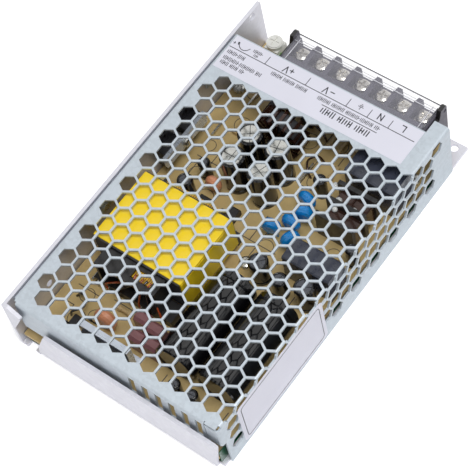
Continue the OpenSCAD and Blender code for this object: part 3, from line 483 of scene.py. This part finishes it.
def add_can_tops():
    """Scored tops inside the crimps, bare on the output cans, and the sleeve turned over each rim."""
    bright, dark, rims = new_mesh(), new_mesh(), new_mesh()
    cans = [(x, y, 10.0, 20.0) for x, y in OUTPUT_CANS] + SMALL_CANS
    for number, (x, y, diameter, height) in enumerate(cans):
        top_z = BOARD_TOP + height
        radius = diameter / 2 - 1.05
        output = number < len(OUTPUT_CANS)
        sectors = 4 if diameter > 7 else 2
        for k in range(sectors):
            start = number * 0.6 + 2 * math.pi * k / sectors
            add_prism(bright if output else dark, wedge(radius, start, start + 2 * math.pi / sectors, 0.28),
                      top_z - 0.35, top_z - 0.08, upright(x, y))
        rim = diameter / 2 - 0.72
        circle = [(rim + 0.34 * math.cos(turn), top_z + 0.04 + 0.3 * math.sin(turn))
                  for turn in (math.pi * k / 4 for k in range(8))]
        add_turned(rims, circle, upright(x, y))
    piece_from("capacitor_tops", bright, "zinc")
    piece_from("small_capacitor_tops", dark, "lid")
    piece_from("sleeve_rims", rims, "sleeve", smooth=True)


BULK = [(-60.0, -13.4), (-60.0, -32.2)]
BULK_L, BULK_Z = 40.0, 14.8


def add_bulk_marks():
    """Rubber plug at the leads' end of each lying capacitor."""
    plugs = new_mesh()
    for x, y in BULK:
        end = x + BULK_L
        outline = [(0.4, end - 0.5), (6.6, end - 0.5), (6.6, end - 0.1), (5.4, end + 0.15), (0.4, end + 0.15)]
        add_turned(plugs, outline, lambda u, v, height, y=y: (height, y + u, BULK_Z + v))
    piece_from("rubber_plugs", plugs, "bakelite")


# ---- transformer ----

CORE_X, CORE_Y, CORE_TOP = (-37.5, -4.5), (-0.8, 39.2), 26.9


PIN_NEAR_X, PIN_FAR_X = -46.6, -0.7
PIN_FIRST_Y, PIN_PITCH, PIN_COUNT = 3.4, 5.2, 7
# y where each lead leaves the hood, the pin that it runs to, and whether it is sleeved
WINDING_LEADS = [(9.6, 0, False), (11.4, 1, True), (13.2, 2, False), (15.2, 4, True), (16.6, 5, False)]


def add_transformer_dress():
    """Loose end of the outer tape, pins of both rails, and leads from the hood to the pins."""
    flap = new_mesh()
    left, right = CORE_X[0] + 0.7, CORE_X[1] - 0.7
    add_block(flap, (left, CORE_Y[0] + 7.0, CORE_TOP), (right, CORE_Y[1] + 0.2, CORE_TOP + 0.07))
    add_block(flap, (left, CORE_Y[0] - 0.64, 10.4), (right, CORE_Y[0] - 0.5, CORE_TOP - 1.0))
    piece_from("tape_flap", flap, "tape")

    pins = new_mesh()
    for k in range(PIN_COUNT):
        place = PIN_FIRST_Y + PIN_PITCH * k
        near, far = PIN_NEAR_X, PIN_FAR_X
        add_tube(pins, [(near, place, BOARD_TOP), (near, place, 9.4), (near + 0.7, place, 9.8)], 0.35)
        if k % 2 == 0:
            add_tube(pins, [(far, place, BOARD_TOP), (far, place, 9.0), (far - 0.7, place, 9.4)], 0.35)
    piece_from("transformer_pins", pins, "nickel", smooth=True)

    leads, sleeves = new_mesh(), new_mesh()
    for start_y, pin, sleeved in WINDING_LEADS:
        stop_y = PIN_FIRST_Y + PIN_PITCH * pin
        run = curve_through([(-41.0, start_y, 23.9), (-43.6, start_y + 0.3, 22.9),
                             (-44.4, start_y * 0.6 + stop_y * 0.4, 18.5), (-46.3, stop_y + 0.3, 12.6),
                             (-46.7, stop_y, 9.4)])
        add_tube(sleeves if sleeved else leads, run, 0.55 if sleeved else 0.4)
    piece_from("winding_leads", leads, "lead", smooth=True)
    piece_from("lead_sleeves", sleeves, "sleeve", smooth=True)


# ---- terminal cover, ears and line filter ----

COVER_ENDS_Y = (28.3, -37.1)
COVER_SIDES_X = (63.6, 77.0)
COVER_SKIN_Z = 23.2
# radii of the dark tubes of painted shade along the cover's edges and of the bright tubes of painted highlight
# inside them
EDGE_R, HIGHLIGHT_R = 0.24, 0.2


def add_cover_edges():
    """Dark tubes along the outer edges of the clear cover, painted shade for the dark look of its clear edges, and
    bright tubes inside them, painted highlights.
    """
    edges, painted_highlights = new_mesh(), new_mesh()
    # dark tubes along the outer rod and both ends: painted shade
    add_tube(edges, [(78.85, 28.4, 22.85), (78.85, -37.2, 22.85)], EDGE_R)
    for place in COVER_ENDS_Y:
        add_tube(edges, [(x, place, COVER_SKIN_Z) for x in COVER_SIDES_X], EDGE_R)
    # bright tubes inside the rod and ends: painted highlights
    add_tube(painted_highlights, [(75.4, 28.2, 23.15), (75.4, -37.0, 23.15)], HIGHLIGHT_R)
    for place in (26.4, -35.2):
        add_tube(painted_highlights, [(64.4, place, 23.15), (76.8, place, 23.15)], HIGHLIGHT_R)
    piece_from("cover_painted_edge_shades", edges, "edge", "flip_cover", smooth=True)
    piece_from("cover_painted_highlights", painted_highlights, "glint", "flip_cover", smooth=True)


# x and z along the top of an ear, and along the skin over it
EAR_TOP = [(62.6, 20.02), (74.45, 20.02), (75.72, 24.32), (78.62, 24.32), (79.42, 23.52)]
EAR_SKIN = [(62.6, 20.2), (74.3, 20.2), (75.6, 24.48), (78.7, 24.48), (79.56, 23.62)]
EARS_Y = (-39.4, 28.9)
EAR_W = 1.7


def add_lug_caps():
    """Glossy black skin over the top of the two ears, up and over the hinge lugs."""
    caps = new_mesh()
    for low in EARS_Y:
        add_prism(caps, EAR_TOP + EAR_SKIN[::-1], low, low + EAR_W, lambda u, v, height: (u, height, v))
    piece_from("lug_caps", caps, "bakelite")


# x, y and radius of each bead
GLUE_BEADS = [(18.6, -25.6, 1.5), (22.4, -27.2, 1.2), (26.2, -26.2, 1.6), (25.6, -33.6, 1.3),
              (31.2, -21.4, 1.3), (17.6, -33.4, 1.1)]


def add_filter_glue():
    """Beads of clear glue where the line filter's windings meet its flanges."""
    beads = new_mesh()
    for place_x, place_y, size in GLUE_BEADS:
        outline = [(0.05, 17.6), (size * 0.8, 17.7), (size, 18.5), (size * 0.7, 19.2), (0.05, 19.5)]
        add_turned(beads, outline, upright(place_x, place_y), 14)
    piece_from("filter_glue", beads, "glue", smooth=True)


# ---- board print and loose wires ----

def add_ring(mesh_data, x, y, radius, width, lift, thickness, sides=30):
    add_turned(mesh_data, [(radius - width / 2, lift), (radius + width / 2, lift),
                           (radius + width / 2, lift + thickness), (radius - width / 2, lift + thickness)],
               upright(x, y), sides)


# x, y and radius of the printed rings
PRINT_RINGS = [(-62.0, 33.5, 3.6), (-57.5, 28.2, 2.6), (-68.5, 29.5, 2.2), (-52.0, 36.2, 3.0), (6.0, 24.0, 3.6),
               (13.0, 33.5, 3.0), (40.5, 31.0, 3.4), (50.0, 24.0, 2.6), (48.0, 4.0, 3.6), (52.0, -8.0, 3.0),
               (34.0, -9.0, 3.6), (11.0, -33.0, 3.0), (0.5, -9.0, 3.2), (54.5, 36.0, 2.4), (26.0, 36.5, 2.6)]
# both ends of each printed line
PRINT_LINES = [((-66, 38), (-58, 38)), ((-58, 38), (-58, 42)), ((-50, 31), (-50, 42)), ((-66, 12), (-62, 9)),
               ((2, 20), (2, 36)), ((0, 36), (18, 36)), ((20, 24.5), (36, 24.5)), ((20, 24.5), (20, 38)),
               ((36, 24.5), (36, 36)), ((46, 12), (58, 12)), ((46, 12), (46, 26)), ((58, 12), (58, 26)),
               ((48, -2), (58, -2)), ((30, -4), (30, -19)), ((30, -4), (42, -4)), ((9.8, -22.5), (9.8, -38)),
               ((-16, -20), (-7, -20)), ((-16, -31), (-7, -31)), ((-66, -10), (-62, -10)),
               ((-66, -38), (-62, -38)), ((37, -12), (55, -12)), ((37, -12), (37, -20)), ((-70, 22), (-62, 22)),
               ((-72, 12), (-72, 22)), ((-48, 12), (-48, 26)), ((-54, 2), (-47, 2)), ((0, 33), (8, 33)),
               ((18, 31), (30, 31)), ((0, -2), (12, -2)), ((0, 4), (0, -14)), ((42, 18), (42, 30)),
               ((-14, -6), (8, -6))]


def add_board_print():
    """Outlines of the components, printed on the board."""
    marks = new_mesh()

    def flat(u, v, lift):
        return (u, v, BOARD_TOP + lift)

    for x, y, radius in PRINT_RINGS:
        add_ring(marks, x, y, radius, 0.26, BOARD_TOP - 0.01, 0.03)
    for start, stop in PRINT_LINES:
        stroke(marks, start, stop, 0.32, flat)
    piece_from("board_print", marks, "ink")


# radius and knots of each loose wire
BLACK_WIRES = [
    (0.5, [(-62.0, 36.0, 6.0), (-61.5, 35.0, 9.5), (-58.5, 31.5, 11.5), (-54.6, 33.6, 10.5), (-53.6, 37.4, 8.4),
           (-54.4, 39.4, 6.0)]),
    (0.5, [(-67.5, 25.5, 6.0), (-67.0, 27.0, 9.8), (-64.0, 29.6, 11.0), (-60.6, 28.4, 9.6), (-59.6, 25.6, 6.0)]),
    (0.45, [(-66.4, 33.0, 6.0), (-66.0, 34.0, 9.0), (-67.8, 37.4, 10.4), (-71.2, 36.2, 8.6), (-71.8, 33.4, 6.0)]),
]
ORANGE_WIRES = [
    (0.45, [(34.5, -6.2, 6.0), (34.8, -5.0, 9.6), (38.4, -2.6, 10.4), (42.4, -4.4, 9.4), (43.2, -6.4, 6.0)]),
    (0.45, [(50.6, -2.6, 6.0), (51.0, -1.6, 9.6), (52.0, 1.6, 11.0), (53.4, 5.0, 9.2), (53.6, 6.6, 6.0)]),
]


def add_wires():
    for name, wires, material in (("black_wires", BLACK_WIRES, "sleeve"), ("orange_wires", ORANGE_WIRES, "copper")):
        mesh_data = new_mesh()
        for radius, knots in wires:
            add_tube(mesh_data, curve_through(knots), radius)
        piece_from(name, mesh_data, material, smooth=True)


add_rating_print()
add_side_print()
add_can_tops()
add_bulk_marks()
add_transformer_dress()
add_cover_edges()
add_lug_caps()
add_filter_glue()
add_board_print()
add_wires()

# ---- camera, light and floor ----

CAMERA_TARGET = Vector((-4.8, -0.3, 15.0)) * MM
CAMERA_DISTANCE = 0.668
AZIMUTH, ELEVATION, ROLL = 39.84, 58.77, -15.86
LENS = 137.2


def add_camera():
    data = bpy.data.cameras.new("camera")
    data.lens = LENS
    data.sensor_width = 36.0
    data.clip_start = 0.01
    camera = bpy.data.objects.new("camera", data)
    bpy.context.scene.collection.objects.link(camera)
    turn = math.radians(AZIMUTH)
    tilt = math.radians(ELEVATION)
    forward = Vector((math.sin(turn) * math.cos(tilt), math.cos(turn) * math.cos(tilt), -math.sin(tilt)))
    level_right = Vector((math.cos(turn), -math.sin(turn), 0.0))
    level_up = level_right.cross(forward)
    roll = math.radians(ROLL)
    right = level_right * math.cos(roll) + level_up * math.sin(roll)
    up = level_up * math.cos(roll) - level_right * math.sin(roll)
    spin = Matrix((right, up, -forward)).transposed()
    camera.matrix_world = Matrix.Translation(CAMERA_TARGET - forward * CAMERA_DISTANCE) @ spin.to_4x4()
    bpy.context.scene.camera = camera


def add_area(name, place, aim_at, side, watts):
    data = bpy.data.lights.new(name, "AREA")
    data.shape = "SQUARE"
    data.size = side
    data.energy = watts
    lamp = bpy.data.objects.new(name, data)
    bpy.context.scene.collection.objects.link(lamp)
    lamp.location = place
    lamp.rotation_euler = (Vector(aim_at) - Vector(place)).to_track_quat("-Z", "Y").to_euler()


def seen_directly(tree):
    """Factor that is 1 for camera, glossy and transmission rays and 0 for the light that falls on things."""
    path = tree.nodes.new("ShaderNodeLightPath")
    total = path.outputs["Is Camera Ray"]
    for output in ("Is Glossy Ray", "Is Transmission Ray"):
        larger = tree.nodes.new("ShaderNodeMath")
        larger.operation = "MAXIMUM"
        tree.links.new(total, larger.inputs[0])
        tree.links.new(path.outputs[output], larger.inputs[1])
        total = larger.outputs[0]
    return total


def add_world(light_strength):
    world = bpy.data.worlds.new("studio")
    bpy.context.scene.world = world
    world.use_nodes = True
    tree = world.node_tree
    tree.nodes.clear()
    soft = tree.nodes.new("ShaderNodeBackground")
    soft.inputs["Strength"].default_value = light_strength
    white = tree.nodes.new("ShaderNodeBackground")
    white.inputs["Strength"].default_value = 1.0
    for shade in (soft, white):
        shade.inputs["Color"].default_value = (1.0, 1.0, 1.0, 1.0)
    mix = tree.nodes.new("ShaderNodeMixShader")
    tree.links.new(seen_directly(tree), mix.inputs[0])
    tree.links.new(soft.outputs[0], mix.inputs[1])
    tree.links.new(white.outputs[0], mix.inputs[2])
    out = tree.nodes.new("ShaderNodeOutputWorld")
    tree.links.new(mix.outputs[0], out.inputs["Surface"])


def add_floor(lift):
    mesh_data = bmesh.new()
    bmesh.ops.create_grid(mesh_data, x_segments=1, y_segments=1, size=3.0)
    mesh = bpy.data.meshes.new("floor")
    mesh_data.to_mesh(mesh)
    mesh_data.free()
    floor = bpy.data.objects.new("floor", mesh)
    bpy.context.scene.collection.objects.link(floor)
    material = bpy.data.materials.new("floor_white")
    material.use_nodes = True
    tree = material.node_tree
    tree.nodes.clear()
    matt = tree.nodes.new("ShaderNodeBsdfDiffuse")
    matt.inputs["Color"].default_value = (0.86, 0.86, 0.87, 1.0)
    glow = tree.nodes.new("ShaderNodeEmission")
    scale = tree.nodes.new("ShaderNodeMath")
    scale.operation = "MULTIPLY"
    scale.inputs[1].default_value = lift
    tree.links.new(seen_directly(tree), scale.inputs[0])
    tree.links.new(scale.outputs[0], glow.inputs["Strength"])
    both = tree.nodes.new("ShaderNodeAddShader")
    tree.links.new(matt.outputs[0], both.inputs[0])
    tree.links.new(glow.outputs[0], both.inputs[1])
    out = tree.nodes.new("ShaderNodeOutputMaterial")
    tree.links.new(both.outputs[0], out.inputs["Surface"])
    mesh.materials.append(material)


add_camera()
add_world(0.37)
add_area("key", (-0.1, -0.42, 1.45), (0, 0, 0), 0.6, 14.0)
add_area("fill", (0.7, -0.9, 0.9), (0, 0, 0), 0.8, 0.6)
add_floor(0.45)

view = bpy.context.scene.view_settings
view.view_transform = "Standard"
